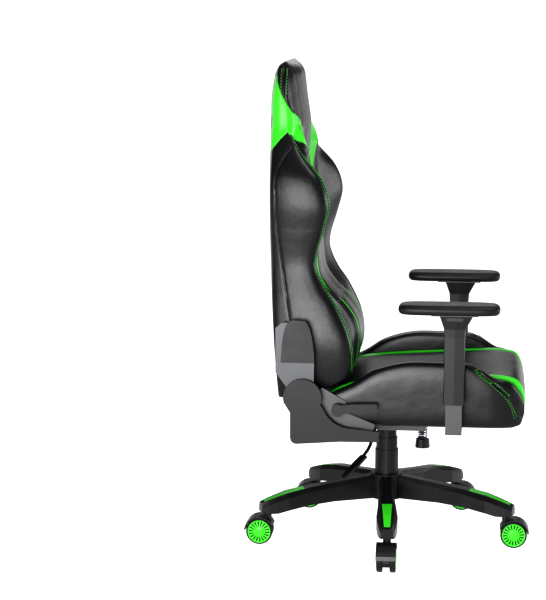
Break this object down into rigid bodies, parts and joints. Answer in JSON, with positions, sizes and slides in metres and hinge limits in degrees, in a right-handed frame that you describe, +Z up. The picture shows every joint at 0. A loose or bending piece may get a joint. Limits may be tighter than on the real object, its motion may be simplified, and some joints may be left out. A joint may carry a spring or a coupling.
{
  "type": "gaming chair",
  "caption": "Racing-style gaming chair with winged reclining backrest, bolstered seat, height-adjustable armrests, gas lift and a five-legged castor base.",
  "frame": {"origin": "on the floor under the middle of the chair's box, with the castors as stored; the lift column stands at x = 29 mm, y = 7 mm", "axes": "+Z up, the chair faces -Y, and the sitter's right hand is at -X"},
  "size_m": [0.7639, 0.7936, 1.344],
  "materials": {
    "black_leather": "semi-gloss",
    "green_leather": "semi-gloss",
    "black_plastic": "satin",
    "green_plastic": "satin",
    "castor_wheel": "satin",
    "soft_pad": "satin",
    "black_steel": "satin",
    "bright_steel": "polished",
    "plywood": "matte"
  },
  "bodies": {
    "base": {"star_base": "black_plastic", "leg_insert_1": "green_plastic", "leg_insert_2": "green_plastic", "leg_insert_3": "green_plastic", "leg_insert_4": "green_plastic", "leg_insert_5": "green_plastic", "gas_cylinder": "black_steel", "lift_cover_lower": "black_plastic"},
    "lift": {"gas_piston": "bright_steel", "lift_cover_upper": "black_plastic"},
    "middle_cover": {"lift_cover_middle": "black_plastic"},
    "mechanism": {"mechanism_housing": "black_steel", "tilt_pin": "bright_steel", "tension_spring": "bright_steel"},
    "tension_knob": {"tension_knob": "black_plastic"},
    "height_lever": {"height_lever": "black_plastic"},
    "seat": {"seat_plate": "black_steel", "seat_board": "plywood", "seat_cushion": "black_leather", "seat_bolster_right": "black_leather", "seat_bolster_left": "black_leather", "hinge_bracket_right": "black_steel", "hinge_bracket_left": "black_steel", "recliner_drum_right": "black_steel", "recliner_drum_left": "black_steel", "side_cover_right": "black_plastic", "side_cover_left": "black_plastic", "sync_rod": "black_steel", "armrest_bracket_right": "black_steel", "armrest_bracket_left": "black_steel"},
    "recline_lever": {"recline_lever": "black_plastic"},
    "back": {"back_frame": "black_steel", "back_shell": "black_leather", "back_cushion": "black_leather", "back_wing_right": "black_leather", "back_wing_left": "black_leather", "head_cushion": "green_leather", "hinge_arm_right": "black_steel", "hinge_arm_left": "black_steel", "hinge_arm_cover_right": "black_plastic", "hinge_arm_cover_left": "black_plastic"},
    "castor_1": {"castor_fork_1": "black_plastic"},
    "castor_wheels_1": {"castor_wheels_1": "castor_wheel"},
    "castor_2": {"castor_fork_2": "black_plastic"},
    "castor_wheels_2": {"castor_wheels_2": "castor_wheel"},
    "castor_3": {"castor_fork_3": "black_plastic"},
    "castor_wheels_3": {"castor_wheels_3": "castor_wheel"},
    "castor_4": {"castor_fork_4": "black_plastic"},
    "castor_wheels_4": {"castor_wheels_4": "castor_wheel"},
    "castor_5": {"castor_fork_5": "black_plastic"},
    "castor_wheels_5": {"castor_wheels_5": "castor_wheel"},
    "armrest_right": {"armrest_sleeve_right": "black_plastic"},
    "armrest_button_right": {"armrest_button_right": "black_plastic"},
    "armrest_plate_right": {"armrest_plate_right": "black_steel"},
    "armrest_pad_right": {"armrest_pad_right": "soft_pad"},
    "armrest_left": {"armrest_sleeve_left": "black_plastic"},
    "armrest_button_left": {"armrest_button_left": "black_plastic"},
    "armrest_plate_left": {"armrest_plate_left": "black_steel"},
    "armrest_pad_left": {"armrest_pad_left": "soft_pad"}
  },
  "joints": [
    {"name": "castor_swivel_1", "type": "hinge", "parent": "base", "child": "castor_1", "pos_m": [-0.32035, -0.01437, 0.0866], "axis": [0, 0, 1], "continuous": true},
    {"name": "castor_roll_1", "type": "hinge", "parent": "castor_1", "child": "castor_wheels_1", "pos_m": [-0.34235, -0.01437, 0.037], "axis": [0, -1, 0], "continuous": true},
    {"name": "castor_swivel_2", "type": "hinge", "parent": "base", "child": "castor_2", "pos_m": [-0.05863, -0.33185, 0.0866], "axis": [0, 0, 1], "continuous": true},
    {"name": "castor_roll_2", "type": "hinge", "parent": "castor_2", "child": "castor_wheels_2", "pos_m": [-0.05863, -0.35385, 0.037], "axis": [1, 0, 0], "continuous": true},
    {"name": "castor_swivel_3", "type": "hinge", "parent": "base", "child": "castor_3", "pos_m": [0.32419, -0.18105, 0.0866], "axis": [0, 0, 1], "continuous": true},
    {"name": "castor_roll_3", "type": "hinge", "parent": "castor_3", "child": "castor_wheels_3", "pos_m": [0.32419, -0.20305, 0.037], "axis": [1, 0, 0], "continuous": true},
    {"name": "castor_swivel_4", "type": "hinge", "parent": "base", "child": "castor_4", "pos_m": [0.29907, 0.22963, 0.0866], "axis": [0, 0, 1], "continuous": true},
    {"name": "castor_roll_4", "type": "hinge", "parent": "castor_4", "child": "castor_wheels_4", "pos_m": [0.29907, 0.25163, 0.037], "axis": [-1, 0, 0], "continuous": true},
    {"name": "castor_swivel_5", "type": "hinge", "parent": "base", "child": "castor_5", "pos_m": [-0.09928, 0.33265, 0.0866], "axis": [0, 0, 1], "continuous": true},
    {"name": "castor_roll_5", "type": "hinge", "parent": "castor_5", "child": "castor_wheels_5", "pos_m": [-0.09928, 0.35465, 0.037], "axis": [-1, 0, 0], "continuous": true},
    {"name": "gas_lift", "type": "slide", "parent": "base", "child": "lift", "axis": [0, 0, 1], "range_m": [-0.03, 0.07]},
    {"name": "middle_cover_slide", "type": "slide", "parent": "base", "child": "middle_cover", "axis": [0, 0, 1], "range_m": [-0.015, 0.035]},
    {"name": "swivel", "type": "hinge", "parent": "lift", "child": "mechanism", "pos_m": [0.029, 0.007, 0.318], "axis": [0, 0, 1], "continuous": true},
    {"name": "tension_turn", "type": "hinge", "parent": "mechanism", "child": "tension_knob", "pos_m": [0.029, -0.094, 0.268], "axis": [0, 0, 1], "range_deg": [-360, 360]},
    {"name": "height_lever_lift", "type": "hinge", "parent": "mechanism", "child": "height_lever", "pos_m": [-0.041, 0.037, 0.321], "axis": [0, 1, 0], "range_deg": [0, 8], "stiffness_Nm_per_rad": 4, "springref_deg": -6.88},
    {"name": "seat_tilt", "type": "hinge", "parent": "mechanism", "child": "seat", "pos_m": [0.029, -0.063, 0.338], "axis": [-1, 0, 0], "range_deg": [0, 12], "stiffness_Nm_per_rad": 160, "springref_deg": -34.38},
    {"name": "recline", "type": "hinge", "parent": "seat", "child": "back", "pos_m": [0.029, 0.22, 0.452], "axis": [-1, 0, 0], "range_deg": [0, 47]},
    {"name": "recline_lever_lift", "type": "hinge", "parent": "seat", "child": "recline_lever", "pos_m": [-0.255, 0.125, 0.42], "axis": [-1, 0, 0], "range_deg": [0, 25], "stiffness_Nm_per_rad": 1.2, "springref_deg": -22.92},
    {"name": "armrest_height_right", "type": "slide", "parent": "seat", "child": "armrest_right", "axis": [0, 0, 1], "range_m": [-0.02, 0.05]},
    {"name": "armrest_button_press_right", "type": "slide", "parent": "armrest_right", "child": "armrest_button_right", "axis": [1, 0, 0], "range_m": [0, 0.003], "stiffness_N_per_m": 500, "springref_m": -0.002},
    {"name": "armrest_turn_right", "type": "hinge", "parent": "armrest_right", "child": "armrest_plate_right", "pos_m": [-0.271, -0.186, 0.687], "axis": [0, 0, 1], "range_deg": [-20, 20]},
    {"name": "armrest_slide_right", "type": "slide", "parent": "armrest_plate_right", "child": "armrest_pad_right", "axis": [0, -1, 0], "range_m": [-0.025, 0.025]},
    {"name": "armrest_height_left", "type": "slide", "parent": "seat", "child": "armrest_left", "axis": [0, 0, 1], "range_m": [-0.02, 0.05]},
    {"name": "armrest_button_press_left", "type": "slide", "parent": "armrest_left", "child": "armrest_button_left", "axis": [-1, 0, 0], "range_m": [0, 0.003], "stiffness_N_per_m": 500, "springref_m": -0.002},
    {"name": "armrest_turn_left", "type": "hinge", "parent": "armrest_left", "child": "armrest_plate_left", "pos_m": [0.329, -0.186, 0.687], "axis": [0, 0, 1], "range_deg": [-20, 20]},
    {"name": "armrest_slide_left", "type": "slide", "parent": "armrest_plate_left", "child": "armrest_pad_left", "axis": [0, -1, 0], "range_m": [-0.025, 0.025]}
  ],
  "couplings": [
    {"joint": "middle_cover_slide", "follows": "gas_lift", "ratio": 0.5}
  ]
}
